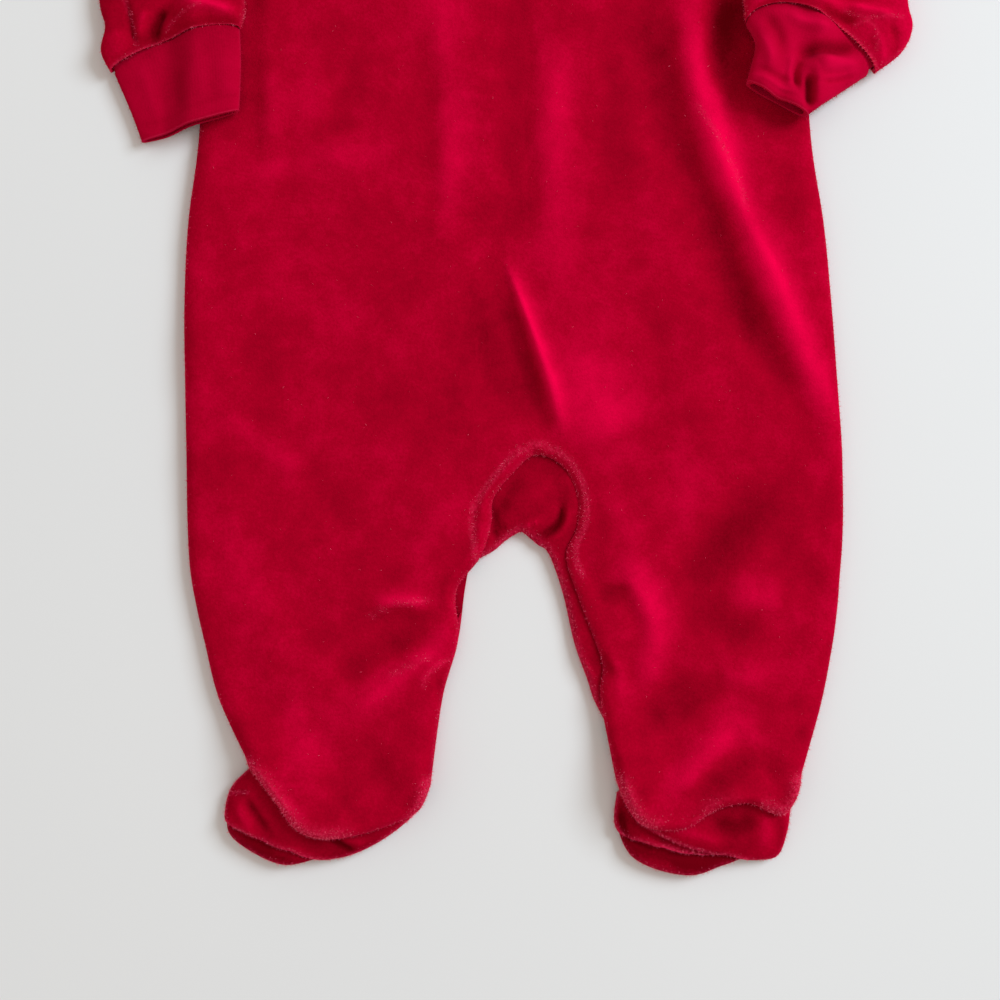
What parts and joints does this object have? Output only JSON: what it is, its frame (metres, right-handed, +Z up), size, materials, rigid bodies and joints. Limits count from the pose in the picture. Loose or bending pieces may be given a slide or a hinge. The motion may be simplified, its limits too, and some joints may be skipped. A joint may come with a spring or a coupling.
{
  "type": "footed onesie pajama laid flat",
  "caption": "Red velour baby sleepsuit with closed feet, rib cuffs and an arched crotch panel, lying flat on its back with the sleeves turned down.",
  "frame": {"origin": "middle of the garment's underside, on the surface it lies on", "axes": "+Z up from the surface, +Y towards the neck, +X towards the right of the picture"},
  "size_m": [0.3262, 0.5272, 0.0186],
  "materials": {
    "velour": "soft cut pile",
    "rib": "fine rib knit",
    "stud": "moulded, slightly glossy"
  },
  "bodies": {
    "root": {"front": "velour", "gusset": "velour", "back_left": "velour", "back_right": "velour", "sleeve_left": "velour", "sleeve_right": "velour", "cuff_left": "rib", "cuff_right": "rib", "sole_left": "velour", "sole_right": "velour", "foot_upper_left": "velour", "foot_upper_right": "velour", "neckband": "rib", "snap_1": "stud", "snap_2": "stud", "snap_3": "stud", "snap_4": "stud", "snap_5": "stud", "snap_6": "stud"}
  },
  "joints": []
}
